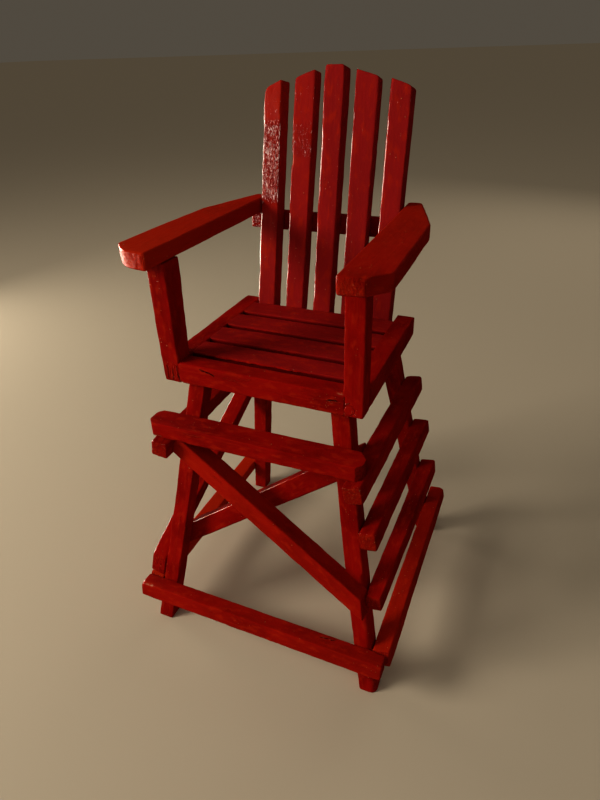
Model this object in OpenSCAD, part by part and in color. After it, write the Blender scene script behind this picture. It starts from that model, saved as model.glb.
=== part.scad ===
// Decorative model of a beach lifeguard chair, cut from square sticks and flat boards.
// Left and right are as seen from the front: +X to the right, the side with the steps,
// +Y to the back, +Z up. The origin is on the ground, under the middle of the chair.

/* [Stock] */
// Side of the square stick that legs, rails, steps, braces and posts are cut from
stick = 12.5; // [9:0.5:16]
// Width of the eased arris along every stick
ease = 0.9; // [0.3:0.1:2]

/* [Legs] */
// Half the width over the outer faces of the legs at the ground
foot_x = 93.5; // [84:0.5:115]
// Half the depth over the outer faces of the legs at the ground
foot_y = 94; // [84:0.5:115]

/* [Seat] */
// Height of the seat's top face
seat_z = 229; // [205:1:260]
// Half the width over the seat's side rails
seat_x = 68.5; // [60:0.5:78]
// Distance from the middle of the chair to the front face of the seat's apron
seat_front = 64.5; // [58:0.5:72]
// Height of the apron and of the seat's side rails
frame_h = 15; // [11:0.5:20]
// Thickness of the seat boards
board_t = 6.5; // [4:0.5:8]
// Width of the first seat board, with the gap before it
first_board = 22; // [16:0.5:28]
// Gap in front of each seat board
board_gap = 5; // [1:0.5:7]
// Depth of the seat from the apron's front face to the back slats
seat_depth = 109; // [98:0.5:118]

/* [Steps and rails] */
// Height of the top face of the bottom rails, at their inner edge
bottom_rail_z = 39.5; // [26:0.5:50]
// Rise from the bottom rail to the lower step, and from there to the middle step
step_rise = 46.5; // [40:0.5:50]
// Height of the top face of the upper side rails, at their inner edge
upper_rail_z = 176; // [165:0.5:190]
// Reach of the upper side rails in front of the front legs, where they carry the footrest
rail_reach = 21.5; // [18:0.5:30]

/* [Footrest] */
// Depth of the footrest board from front to back
footrest_d = 17; // [13:0.5:18]
// Thickness of the footrest board
footrest_t = 11.5; // [8:0.5:14]
// Size of the cut-off corners at the ends of the footrest board
footrest_cut = 4; // [1:0.5:5]
// Depth of the level seats in the rails that the footrest board lies in
footrest_seat = 1; // [0.5:0.1:2]

/* [Braces] */
// Slope of the brace on the front of the front legs
front_brace_slope = 32; // [28:0.5:35]
// Height at which the front brace crosses the middle of the chair
front_brace_z = 128.5; // [120:0.5:134]
// Slope of the brace on the back of the front legs
inner_brace_slope = 36; // [32:0.5:38]
// Height at which the inner brace crosses the middle of the chair
inner_brace_z = 127; // [118:0.5:134]
// Slope of the brace on the left side
side_brace_slope = 33.5; // [30:0.5:35]
// Height at which the left brace crosses the middle of the chair
side_brace_z = 104.5; // [100:0.5:108]

/* [Arms] */
// Height of the arms' underside
arm_z = 294; // [275:0.5:315]
// Thickness of the arms
arm_t = 10.5; // [8:0.5:14]
// Reach of the arms in front of the posts
arm_reach = 15; // [8:0.5:24]
// Width of the arms at their widest, near the front
arm_w = 26; // [20:0.5:32]
// Size of the cut-off outer corner at the front of the arms
arm_corner = 11; // [4:0.5:14]
// Length of the tapered back end of the arms
arm_taper = 51; // [30:1:70]
// Width that the taper and the slant take off the outer edge at the back end
arm_taper_w = 20; // [12:0.5:22]

/* [Back] */
// Lean of the back from the vertical
back_lean = 11.5; // [6:0.5:14]
// Width of one slat
slat_w = 14.5; // [11:0.5:16]
// Thickness of the slats
slat_t = 11; // [8:0.5:13]
// Distance from the middle of one slat to the middle of the next
slat_pitch = 23; // [18:0.1:23.5]
// Height of the middle slat's top end
back_z = 388; // [350:1:420]
// Drop from the middle slat's top to the tops of the slats beside it
slat_drop = 3.2; // [1:0.1:8]
// Further drop to the tops of the outer slats
outer_slat_drop = 5.6; // [2:0.1:10]
// Slope of the cut across the top ends of the four slats beside the middle one
slat_cut = 18; // [8:1:25]
// Height of the rail that carries the arms behind the slats
arm_rail_h = 14; // [10:0.5:16]
// Half the length of that rail
arm_rail_x = 64.5; // [58:0.5:70]
// Reach of the arms' back ends over that rail
arm_bearing = 5; // [2:0.5:10]
// Depth of the level seats in that rail that the arms lie in
arm_seat = 0.7; // [0.5:0.1:1.5]
// Reach of the back legs' heads under the slats
slat_seat = 8; // [4:0.5:10]

/* [Hidden] */

enamel = "#b3160f";
// Longer than any piece, for planes and half spaces
reach = 3 * foot_y + back_z;

// Seat frame
seat_in = seat_x - stick;
frame_z = seat_z - frame_h;
leg_top = seat_z - board_t;
apron_back = stick - seat_front;
slat_front = seat_depth - seat_front;
slat_foot = slat_front - board_t * tan(back_lean);
first_edge = apron_back + first_board;
board_pitch = (slat_front - first_edge) / 3;
// Front edge of each seat board's place, and the back edge of the last one
board_edges = [apron_back, first_edge, first_edge + board_pitch, slat_front - board_pitch, slat_front];

// Splay of the legs: their heads stand in the corners of the seat frame, and under the slats
side_splay = atan((foot_x - seat_in) / leg_top);
front_splay = atan((foot_y + apron_back) / leg_top);
back_splay = atan((foot_y - slat_foot - slat_seat) / leg_top);
// Distance from the middle to the legs' outer face, at height z
function side_face(z) = foot_x - z * tan(side_splay);
function end_face(z, splay) = foot_y - z * tan(splay);

// Rails on the legs
rail_half = side_face(bottom_rail_z) + stick * cos(side_splay);
front_rail_foot = bottom_rail_z / cos(front_splay) - stick;
// The bottom side rails reach as far behind the middle as the front rail stands before it
rail_back = foot_y + stick * cos(front_splay) - (front_rail_foot + ease) * sin(front_splay);

// Footrest
footrest_z = upper_rail_z + stick * sin(side_splay) - footrest_seat;
footrest_back = end_face(footrest_z, front_splay);
footrest_half = side_face(footrest_z) + stick;

// Arms and back
slat_edge = 2 * slat_pitch + slat_w / 2;
arm_fit = 0.2;
arm_mid = arm_z + arm_t / 2 - seat_z;
arm_back = slat_front + arm_mid * tan(back_lean) + slat_t + arm_bearing;
slat_length = (back_z - seat_z) / cos(back_lean);
// Top of the rail behind the slats, measured along them: its front edge stands in the arms' seats
arm_rail_top = (arm_z + arm_seat - seat_z + slat_t * sin(back_lean)) / cos(back_lean);

// ---------- Stock ----------

module eased(w, h)
    polygon([[ease, 0], [w - ease, 0], [w, ease], [w, h - ease],
             [w - ease, h], [ease, h], [0, h - ease], [0, ease]]);

module bar_x(l, d, h)
    rotate([90, 0, 90]) linear_extrude(l) eased(d, h);

module bar_y(w, l, h)
    translate([0, l, 0]) rotate([90, 0, 0]) linear_extrude(l) eased(w, h);

module bar_z(w, d, l)
    linear_extrude(l) eased(w, d);

module both_sides() {
    children();
    mirror([1, 0, 0]) children();
}

// ---------- Planes of the legs' faces ----------

// Y = 0 is the outer face of the legs at one end of the chair, and +Y runs into the legs
module on_end(splay = front_splay)
    translate([0, -foot_y, 0]) rotate([-splay, 0, 0]) children();

// X = 0 is the outer face of the right legs, and +X runs away from them
module on_right()
    translate([foot_x, 0, 0]) rotate([0, -side_splay, 0]) children();

module beyond_end(splay = front_splay)
    on_end(splay) translate([-reach, -reach, -reach]) cube([2 * reach, reach, 2 * reach]);

// All that lies outward of a plane in the right legs, inset from their outer face
module beyond_right(inset = 0)
    on_right() translate([-inset, -reach, -reach]) cube([reach, 2 * reach, 2 * reach]);

// ---------- Legs ----------

// The front right leg, or with another splay and mirrored the back one. Its faces lie in the planes
// above, its foot is cut level, and its head is cut to the inside of the seat frame.
module leg(splay)
    color(enamel) difference() {
        intersection() {
            on_right() translate([-stick, -reach, -reach]) cube([stick, 2 * reach, 2 * reach]);
            on_end(splay) translate([-reach, 0, -reach]) cube([2 * reach, stick, 2 * reach]);
            eased_diagonals(splay);
            translate([-reach, -reach, 0]) cube([2 * reach, 2 * reach, leg_top]);
        }
        translate([seat_in, -reach, frame_z]) cube([reach, 2 * reach, frame_h]);
        translate([-reach, -reach, frame_z]) cube([2 * reach, reach + apron_back, frame_h]);
    }

// A square bar turned by 45 degrees about the leg's own axis: its faces ease the leg's four arrises
module eased_diagonals(splay) {
    side = sqrt(2) * (stick - ease);
    translate([foot_x - stick / cos(side_splay) / 2, stick / cos(splay) / 2 - foot_y, 0])
        rotate([-atan(tan(splay) * cos(side_splay)), -side_splay, 0]) rotate([0, 0, 45])
            cube([side, side, 2 * reach], center = true);
}

// ---------- Rails and steps ----------

module bottom_front_rail()
    color(enamel) on_end() translate([-rail_half, -stick, front_rail_foot])
        bar_x(2 * rail_half, stick, stick);

// A bar along Y, flush on the outer face of the right legs, with its inner top edge at height z
module right_bar(z, front, back)
    on_right() translate([0, -front, z / cos(side_splay) - stick]) bar_y(stick, front + back, stick);

module bottom_side_rail()
    color(enamel) difference() {
        right_bar(bottom_rail_z, foot_y + stick, rail_back);
        beyond_end();
    }

module step(z) {
    mid = z - stick / 2;
    color(enamel) right_bar(z, end_face(mid, front_splay), end_face(mid, back_splay));
}

module upper_rail() {
    mid = upper_rail_z - stick / 2;
    color(enamel) difference() {
        right_bar(upper_rail_z, end_face(mid, front_splay) + rail_reach, end_face(mid, back_splay));
        footrest_block();
    }
}

// ---------- Footrest ----------

module footrest_block()
    translate([0, -footrest_back, footrest_z]) linear_extrude(footrest_t)
        polygon([[-footrest_half, footrest_cut - footrest_d], [footrest_cut - footrest_half, -footrest_d],
            [footrest_half - footrest_cut, -footrest_d], [footrest_half, footrest_cut - footrest_d],
            [footrest_half, -footrest_cut], [footrest_half - footrest_cut, 0],
            [footrest_cut - footrest_half, 0], [-footrest_half, -footrest_cut]]);

module footrest_board()
    color(enamel) footrest_block();

// ---------- Braces ----------

// A bar in the plane XZ that crosses X = 0 at height z, with one face at Y = 0 and its body at +Y
module sloping_bar(slope, z)
    translate([0, 0, z]) rotate([0, -slope, 0]) translate([-reach / 2, 0, -stick / 2])
        bar_x(reach, stick, stick);

module front_brace()
    color(enamel) difference() {
        on_end() translate([0, -stick, 0]) sloping_bar(-front_brace_slope, front_brace_z / cos(front_splay));
        both_sides() beyond_right();
        translate([-reach, -reach, footrest_z]) cube([2 * reach, 2 * reach, reach]);
    }

module inner_front_brace()
    color(enamel) difference() {
        on_end() translate([0, stick, 0]) sloping_bar(inner_brace_slope, inner_brace_z / cos(front_splay));
        both_sides() beyond_right();
    }

module left_brace()
    mirror([1, 0, 0]) color(enamel) difference() {
        on_right() translate([stick, 0, 0]) rotate([0, 0, 90])
            sloping_bar(side_brace_slope, side_brace_z / cos(side_splay));
        beyond_end();
        mirror([0, 1, 0]) beyond_end(back_splay);
    }

// ---------- Seat ----------

module seat_apron()
    color(enamel) translate([-seat_in, -seat_front, frame_z]) bar_x(2 * seat_in, stick, frame_h);

module seat_rail()
    color(enamel) translate([seat_in, apron_back, frame_z]) bar_y(stick, seat_depth, frame_h);

// Stands between the back legs and carries the slats' lower ends
module seat_back_rail()
    color(enamel) difference() {
        translate([-seat_in, slat_foot, leg_top - stick]) bar_x(2 * seat_in, stick, stick);
        both_sides() beyond_right(stick);
    }

// Board number i, counted from the apron to the back
module seat_board(i) {
    front = board_edges[i - 1] + board_gap;
    color(enamel) difference() {
        translate([-seat_in, front, leg_top]) bar_x(2 * seat_in, board_edges[i] - front, board_t);
        behind_slat_fronts();
    }
}

// ---------- Arms ----------

module arm_post()
    color(enamel) translate([seat_in, -seat_front, frame_z]) bar_z(stick, stick, arm_z - frame_z);

module armrest() {
    front = -seat_front - arm_reach;
    inner = seat_in + arm_fit;
    outer = inner + arm_w;
    taper = arm_back - arm_taper;
    color(enamel) translate([0, 0, arm_z]) linear_extrude(arm_t)
        polygon([[inner, front], [outer - arm_corner, front + arm_corner / 6], [outer, front + arm_corner + 3],
                 [outer - arm_corner / 3, taper], [outer - arm_taper_w, arm_back], [slat_edge + arm_fit, arm_back]]);
}

// ---------- Back ----------

// Y = 0 is the front face of the slats, Z = 0 is at the height of the seat's top face
module on_back()
    translate([0, slat_front, seat_z]) rotate([-back_lean, 0, 0]) children();

module behind_slat_fronts()
    on_back() translate([-reach, 0, -reach]) cube([2 * reach, reach, 2 * reach]);

module arm_back_rail()
    color(enamel) difference() {
        on_back() translate([-arm_rail_x, slat_t, arm_rail_top - arm_rail_h])
            bar_x(2 * arm_rail_x, stick, arm_rail_h);
        both_sides() armrest();
    }

// Slat number i, from left to right
module slat(i) {
    place = i - 3;
    side = sign(place);
    top = slat_length - abs(side) * slat_drop - max(abs(place) - 1, 0) * outer_slat_drop;
    color(enamel) intersection() {
        difference() {
            on_back() translate([place * slat_pitch - slat_w / 2, 0, top - reach])
                bar_z(slat_w, slat_t, reach);
            on_back() translate([place * slat_pitch - side * slat_w / 2, -1, top])
                rotate([0, side * slat_cut, 0]) translate([-reach / 2, 0, 0])
                    cube([reach, slat_t + 2, reach]);
        }
        translate([-reach, -reach, leg_top]) cube([2 * reach, 2 * reach, reach]);
    }
}

// ---------- Parts ----------

leg(front_splay);  // front_right_leg
mirror([1, 0, 0]) leg(front_splay);  // front_left_leg
mirror([0, 1, 0]) leg(back_splay);  // back_right_leg
mirror([0, 1, 0]) mirror([1, 0, 0]) leg(back_splay);  // back_left_leg
bottom_front_rail();
bottom_side_rail();  // bottom_right_rail
mirror([1, 0, 0]) bottom_side_rail();  // bottom_left_rail
step(bottom_rail_z + step_rise);  // lower_step
step(bottom_rail_z + 2 * step_rise);  // middle_step
upper_rail();  // upper_right_rail
mirror([1, 0, 0]) upper_rail();  // upper_left_rail
footrest_board();
front_brace();
inner_front_brace();
left_brace();
seat_apron();
seat_rail();  // right_seat_rail
mirror([1, 0, 0]) seat_rail();  // left_seat_rail
seat_back_rail();
for (i = [1 : 4])
    seat_board(i);
arm_post();  // right_arm_post
mirror([1, 0, 0]) arm_post();  // left_arm_post
armrest();  // right_armrest
mirror([1, 0, 0]) armrest();  // left_armrest
arm_back_rail();
for (i = [1 : 5])
    slat(i);
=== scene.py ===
"""Looks of the model lifeguard chair. Every piece is a worn, brush-painted copy of one CAD node."""

import math

import bpy
import numpy as np
from mathutils import Matrix, Vector, noise


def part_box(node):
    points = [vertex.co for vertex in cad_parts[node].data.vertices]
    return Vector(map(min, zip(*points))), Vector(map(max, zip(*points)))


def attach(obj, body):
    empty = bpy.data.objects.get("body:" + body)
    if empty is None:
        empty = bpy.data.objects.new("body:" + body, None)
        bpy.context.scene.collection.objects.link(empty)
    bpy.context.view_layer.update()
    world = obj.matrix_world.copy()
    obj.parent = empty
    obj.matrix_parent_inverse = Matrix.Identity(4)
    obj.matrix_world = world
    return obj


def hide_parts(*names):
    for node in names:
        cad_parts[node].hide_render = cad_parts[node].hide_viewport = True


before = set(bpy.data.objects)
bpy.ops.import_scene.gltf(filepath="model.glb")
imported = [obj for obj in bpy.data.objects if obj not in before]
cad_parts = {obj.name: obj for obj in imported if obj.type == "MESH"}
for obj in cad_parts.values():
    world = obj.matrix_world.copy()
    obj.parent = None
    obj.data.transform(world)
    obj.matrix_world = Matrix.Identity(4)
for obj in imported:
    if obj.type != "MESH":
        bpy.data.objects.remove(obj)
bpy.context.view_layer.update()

MM = 0.001
UP = np.array([0.0, 0.0, 1.0])


# ---------- Shapes of the CAD nodes ----------

SAME_WAY = 2e-3  # Normals that differ by less are those of one flat face
SAME_PLANE = 0.03  # So are planes that are less than this apart, in millimetres


def flat_faces(node):
    """The flat faces of a CAD node, in millimetres: [unit normal, distance from the origin, area]."""
    found = []
    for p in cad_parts[node].data.polygons:
        n = np.array(p.normal)
        d, area = float(n @ np.array(p.center)) / MM, p.area / MM**2
        for f in found:
            if np.abs(f[0] - n).max() < SAME_WAY and abs(f[1] - d) < SAME_PLANE:
                f[2] += area
                break
        else:
            found.append([n, d, area])
    return sorted(found, key=lambda f: -f[2])


def corners_of(node):
    return np.array([v.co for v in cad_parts[node].data.vertices]) / MM


class Stock:
    """A bar or plate: flat sides along one axis, and flat cuts across its two ends."""

    MIN_SIDE = 3.0  # Narrower sides are the eased arrises
    MIN_CUT = 30.0  # Smaller cuts are the walls of housings
    RIDGE = 1.2  # Rounding of the ridge between two cuts
    SQUARE = 0.3  # Two sides are square to each other if the cosine between them is less
    CUT = 0.25  # A face is a cut if its normal has more than this along the axis
    UPRIGHT = 0.8  # A piece is upright if its axis has more than this along Z

    def __init__(self, node, axis=None, level_ends=False):
        faces, points = flat_faces(node), corners_of(node)
        if axis is None:
            first = faces[0][0]
            second = next(f[0] for f in faces if abs(f[0] @ first) < self.SQUARE)
            axis = np.cross(first, second)
        axis = np.array(axis, float) / np.linalg.norm(axis)
        if axis[np.argmax(np.abs(axis))] < 0:
            axis = -axis
        self.axis = axis
        self.e1 = np.cross(UP if abs(axis[2]) < self.UPRIGHT else np.array([0.0, 1.0, 0.0]), axis)
        self.e1 /= np.linalg.norm(self.e1)
        self.e2 = np.cross(axis, self.e1)
        length = np.ptp(points @ axis)
        sides = [f for f in faces if abs(f[0] @ axis) < self.CUT and f[2] / length > self.MIN_SIDE]
        self.sides = sorted(
            [(math.atan2(f[0] @ self.e2, f[0] @ self.e1), f[0] @ self.e1, f[0] @ self.e2, f[1]) for f in sides]
        )
        if level_ends:
            cuts = [(UP, points[:, 2].max()), (-UP, -points[:, 2].min())]
        else:
            cuts = [(f[0], f[1]) for f in faces if abs(f[0] @ axis) > self.CUT and f[2] > self.MIN_CUT]
        self.high = [(n, d) for n, d in cuts if n @ axis > 0]
        self.low = [(n, d) for n, d in cuts if n @ axis < 0]

    def outline(self, inset=0.0):
        """Corners of the cross-section, anticlockwise, moved in by inset."""
        out = []
        for k, (_, a1, b1, d1) in enumerate(self.sides):
            _, a0, b0, d0 = self.sides[k - 1]
            out.append(np.linalg.solve([[a0, b0], [a1, b1]], [d0 - inset, d1 - inset]))
        return np.array(out)

    def place(self, ab, along):
        return ab[:, :1] * self.e1 + ab[:, 1:] * self.e2 + along[:, None] * self.axis

    def reach(self, ab, cuts, sign):
        """How far along the axis the cuts let the piece run, with the ridges between two cuts rounded."""
        base = ab[:, :1] * self.e1 + ab[:, 1:] * self.e2
        runs = [sign * (d - base @ n) / (n @ self.axis) for n, d in cuts]
        out = runs[0]
        for run in runs[1:]:
            near = np.maximum(self.RIDGE - np.abs(out - run), 0.0) / self.RIDGE
            out = np.minimum(out, run) - near**2 * self.RIDGE / 4
        return sign * out

    def ends(self, ab):
        return self.reach(ab, self.low, -1), self.reach(ab, self.high, 1)

    def nip(self, u, v, at_high, depth, slope):
        """Take a corner off one end: u and v say towards which sides, depth how much, slope how steeply."""
        plain = self.outline()
        corner = plain[np.argmax(plain @ [u, v])][None]
        low, high = self.ends(corner)
        way = (self.e1 * u + self.e2 * v) / math.hypot(u, v) * math.sin(slope)
        way = way + self.axis * (math.cos(slope) if at_high else -math.cos(slope))
        tip = self.place(corner, high if at_high else low)[0]
        (self.high if at_high else self.low).append((way, float(way @ tip) - depth))


def rounded(outline, radii, per_side, per_corner):
    """A closed line round the outline with rounded corners, and its outward normals."""
    count = len(outline)
    arcs = []
    for k in range(count):
        corner = outline[k]
        u, v = outline[k - 1] - corner, outline[(k + 1) % count] - corner
        u, v = u / np.linalg.norm(u), v / np.linalg.norm(v)
        half = math.acos(float(np.clip(u @ v, -1, 1))) / 2
        middle = corner + (u + v) / np.linalg.norm(u + v) * radii[k] / math.sin(half)
        first, last = np.array([-u[1], u[0]]), np.array([-v[1], v[0]])
        first = -first if first @ (corner - middle) < 0 else first
        last = -last if last @ (corner - middle) < 0 else last
        start = math.atan2(first[1], first[0])
        turn = (math.atan2(last[1], last[0]) - start) % (2 * math.pi)
        angles = start + turn * np.linspace(0, 1, per_corner)
        out = np.stack([np.cos(angles), np.sin(angles)], 1)
        arcs.append((middle + radii[k] * out, out))
    points, normals = [], []
    for k, (arc, out) in enumerate(arcs):
        points += list(arc)
        normals += list(out)
        next_arc = arcs[(k + 1) % count][0]
        for i in range(1, per_side[k]):
            points.append(arc[-1] + (next_arc[0] - arc[-1]) * i / per_side[k])
            normals.append(out[-1])
    return np.array(points), np.array(normals)


# ---------- Hand work ----------


def wobble(points, size, seed):
    """Smooth noise from -1 to 1 at points in millimetres, with features of about size."""
    shift = Vector((seed * 17.31, seed * 7.77, seed * 3.13))
    return np.array([noise.noise(Vector(p) / size + shift) for p in points])


def smooth(x, low, high):
    x = np.clip((x - low) / (high - low), 0.0, 1.0)
    return x * x * (3 - 2 * x)


def near_to(place, points, core, reach):
    """1 at points up to core from a place, falling to 0 at reach from it."""
    return 1 - smooth(np.linalg.norm(points - place, axis=1), core, reach)


STEP = 1.6  # Spacing of the mesh, in millimetres
CORNERS = 5  # Points round each long arris
FADE = 0.03  # How softly a stretch of a piece begins and ends, as a share of its length
STILL = (0.0, 0.0, 0.0)

# Unevenness of a surface, in millimetres: the size and share of each layer, and what is added to its seed
WAVES = ((34.0, 1.0, 0), (11.0, 0.45, 5), (3.6, 0.16, 9))
PULLED_IN = 0.1  # The skin is this far inside the solid on average
END_LUMP = 2.6  # Size of the lumps on an end
END_HOLLOW = 0.3  # An end lies this share of its lumps further in
CRUMB, CRUMB_HEIGHT = 1.9, 0.09  # Size and height of the crumbs of dried paint
CRUMB_SHAPE = (1, 1, 1.6)  # They are longer in Z
FRONT = (0.1, 0.5)  # A side turns into a front between these shares of -Y in its normal

# Dents that are drawn at random, in millimetres
AT_ENDS = 0.45  # Share of the dents that are at an end
ALONG = (0.04, 0.96)  # Where the others are along the piece
DENT_DEPTH, END_DENT_DEPTH, DENT_REACH = (0.25, 0.5), (0.25, 0.9), (3.0, 6.5)

# A dent or chip is a flat cut across an arris or a corner
END_SLANT = 0.9  # How far a flat at an end is turned from the side to the end
FLAT_IN = 0.35  # The flat of a dent without depth is this share of the arris's rounding under the corner
FLAT_LUMP, FLAT_HEIGHT = 1.8, 0.18  # Size and height of the unevenness of a flat
CHIPPED_OFF = 0.65  # A chip listed with more depth than this lost its paint
BARE_DEPTH, BARE_BLEND = 0.35, 0.5  # What is cut deeper shows pale filler and wood, fully so this much deeper

# A place on a piece is (u, v, w): u and v are -1, 0 or 1 for the two directions across it, and w runs
# from 0 to 1 along it, from its low end, which has less X, Y or Z. Across, a level piece has first its
# left hand, seen along it, which is +Y on one that runs in X and -X on one that runs in Y, and then
# its top. An upright piece has +X and +Y, and so has an armrest, whose w runs from its front to its
# back, but in ARRISES from its underside up.

# How far the low end, the high end and the middle of a piece are from where they should be in X, Y and Z,
# in millimetres
ASKEW = {
    "front_right_leg": ((0.0, 0.0, 0.0), (-1.2, 0.0, 0.0), (-1.2, 0.0, 0.0)),
    "front_left_leg": ((0.0, 0.0, 0.0), (0.8, 0.0, 0.0), (0.4, 0.0, 0.0)),
    "back_slat_1": ((0.0, 0.0, 0.0), (1.2, 0.0, 0.9)),
    "back_slat_2": ((0.3, 0.0, 0.0), (0.2, 0.5, 1.1)),
    "back_slat_3": ((-0.2, 0.0, 0.0), (-1.3, 0.0, 0.7)),
    "back_slat_4": ((-0.5, 0.0, 0.0), (-1.8, 0.4, 1.2)),
    "back_slat_5": ((-0.5, 0.0, 0.0), (-1.8, -0.3, 1.4)),
    "footrest_board": ((-4.0, 0.0, -2.2), (-3.6, 0.0, 0.2)),
    "upper_left_rail": ((2.0, 0.0, -1.8), (0.3, 0.0, -0.6)),
    "upper_right_rail": ((-2.1, 0.0, 0.4), (0.3, 0.0, 0.5)),
    "middle_step": ((-1.3, -3.0, -0.2), (0.3, 0.0, 0.0)),
    "lower_step": ((-0.3, -3.0, 0.0), (0.4, 0.0, 0.0)),
    "front_brace": ((0.0, 0.0, 0.3), (0.0, 0.0, -0.4)),
    "bottom_front_rail": ((-0.6, 0.0, -0.3), (-1.8, 0.0, -0.4)),
    "arm_back_rail": ((-1.5, 0.0, 0.0), (0.0, 0.0, 0.0)),
}

# Sides that stand out further than the stock's size: (u, v), by how much at the low and at the high end
SWOLLEN = {
    "back_slat_2": [((1, 0), 0.0, 1.3)],
    "back_slat_3": [((0, 1), 0.3, 2.6)],
    "back_slat_4": [((1, 0), 0.0, 1.0), ((-1, 0), 0.0, 0.7)],
    "back_slat_5": [((0, 1), 0.0, 1.8), ((1, 0), 0.0, 0.5)],
    "left_arm_post": [((0, 1), 0.5, 4.2), ((1, 0), 0.2, 0.9)],
    "left_armrest": [((-1, 0), 2.6, 2.2)],
    "right_armrest": [((1, 0), 0.0, 3.0), ((0, 1), 2.0, 2.0)],
    "middle_step": [((-1, 0), -1.0, 0.0), ((0, -1), 1.8, 0.0)],
    "lower_step": [((-1, 0), -1.9, 0.0)],
    "front_brace": [((1, 0), 2.4, 2.4)],
    "inner_front_brace": [((0, 1), 1.5, 3.4)],
}

# Pieces twisted along their length: degrees at the low and at the high end
TWISTED = {
    "back_slat_1": (-2.0, -9.0),
    "back_slat_2": (0.0, -2.0),
    "back_slat_4": (0.0, 2.0),
    "lower_step": (2.0, 0.0),
    "upper_right_rail": (-2.0, 1.0),
}

# Corners rounded off one end: (u, v), whether at the high end, depth and slope from the axis in degrees
NIPPED = {
    "back_slat_1": [((-1, 0), True, 0.9, 28), ((-1, 0), True, 1.3, 55), ((1, 0), True, 0.6, 40)],
    "back_slat_2": [((-1, 0), True, 0.6, 35), ((1, 0), True, 0.7, 50)],
    "back_slat_3": [((-1, 0), True, 0.7, 45), ((1, 0), True, 0.9, 45)],
    "back_slat_4": [((1, 0), True, 0.5, 50)],
    "back_slat_5": [((1, 0), True, 0.9, 45)],
    "footrest_board": [((1, 0), True, 1.4, 40)],
    "upper_right_rail": [((1, 1), True, 1.6, 50), ((-1, -1), True, 1.5, 45), ((0, 1), False, 0.8, 40)],
    "upper_left_rail": [((0, -1), False, 0.7, 45), ((0, 1), True, 0.9, 45)],
    "middle_step": [((0, 1), False, 0.8, 45), ((0, 1), True, 0.8, 45)],
    "lower_step": [((0, -1), False, 0.8, 40), ((-1, 0), True, 1.0, 45)],
    "bottom_front_rail": [((0, 1), False, 0.9, 45)],
    "bottom_right_rail": [((0, 1), True, 1.0, 45)],
    "left_seat_rail": [((0, 1), True, 1.2, 45)],
    "right_seat_rail": [((0, 1), True, 0.8, 45)],
    "arm_back_rail": [((0, 1), False, 0.7, 45), ((0, 1), True, 0.9, 45)],
}

# Arrises worn more or less than the rest of the piece: the one that lies furthest towards (u, v), from w, to w,
# and the radius in millimetres
ARRISES = {
    "front_right_leg": [((1, -1), 0.0, 0.42, 4.2)],
    "front_left_leg": [((-1, -1), 0.3, 1.0, 1.8)],
    "back_slat_1": [((-1, -1), 0.0, 1.0, 1.5)],
    "back_slat_2": [((-1, -1), 0.0, 1.0, 1.9)],
    "back_slat_3": [((-1, -1), 0.0, 1.0, 2.0)],
    "back_slat_5": [((-1, -1), 0.0, 1.0, 2.0)],
    "left_seat_rail": [((-1, 1), 0.0, 1.0, 0.2)],
    "right_seat_rail": [((1, 1), 0.0, 1.0, 0.2)],
    "right_arm_post": [((-1, -1), 0.0, 0.2, 0.2), ((-1, -1), 0.22, 1.0, 1.5)],
    "left_armrest": [((-1, -1), 0.0, 1.0, 7.0), ((-1, -3), 0.0, 1.0, 5.0), ((1, -1), 0.0, 1.0, 1.2)],
    "right_armrest": [((-1, -1), 0.0, 1.0, 1.6)],
}

# Dents and chips: place, depth and reach in millimetres
CHIPS = {
    "back_slat_2": [((-1, -1, 0.69), 1.0, 6.0), ((-1, -1, 0.75), 0.5, 4.0)],
    "back_slat_1": [((-1, -1, 0.84), 0.5, 5.0), ((1, -1, 0.6), 0.4, 5.0)],
    "bottom_front_rail": [((-1, -1, 1), 0.7, 2.5), ((1, 1, 0.985), 0.7, 6.0), ((-1, 1, 0.03), 0.8, 5.0)],
    "seat_apron": [((-1, 1, 0.93), 0.6, 5.0), ((-1, -1, 0.2), 0.4, 6.0), ((-1, 1, 0.99), 0.8, 3.5)],
    "front_right_leg": [((1, -1, 0), 1.4, 4.5), ((-1, -1, 0.33), 0.5, 5.0)],
    "left_arm_post": [((-1, -1, 0), 0.9, 4.0), ((1, -1, 0.05), 0.8, 4.0)],
    "right_arm_post": [((-1, -1, 0.12), 0.6, 5.0), ((-1, -1, 0), 0.9, 4.0)],
    "footrest_board": [((-1, -1, 0.02), 0.9, 5.0), ((-1, 0, 0.56), 0.3, 2.5)],
    "upper_right_rail": [((-1, 1, 0), 0.9, 4.5), ((1, -1, 0), 1.1, 4.5)],
    "lower_step": [((-1, 1, 0), 0.8, 4.0), ((1, -1, 0), 0.9, 4.0)],
}

# Stretches where the paint dried crumbly over rough grain: from w, to w, how strong
CRUMBLY = {
    "back_slat_1": [(0.5, 0.86, 1.0), (0.86, 1.0, 0.4)],
    "back_slat_2": [(0.68, 0.82, 0.6), (0.82, 1.0, 0.25)],
    "back_slat_3": [(0.62, 0.68, 0.2)],
    "back_slat_5": [(0.9, 0.97, 0.25), (0.42, 0.48, 0.4)],
    "arm_back_rail": [(0.0, 0.08, 1.0)],
    "upper_left_rail": [(0.0, 0.01, 0.3)],
    "upper_right_rail": [(0.0, 0.01, 0.55)],
    "lower_step": [(0.0, 0.01, 0.4)],
    "middle_step": [(0.0, 0.01, 0.6)],
    "bottom_front_rail": [(0.97, 1.0, 0.12)],
    "seat_apron": [(0.96, 1.0, 0.15)],
}

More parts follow.
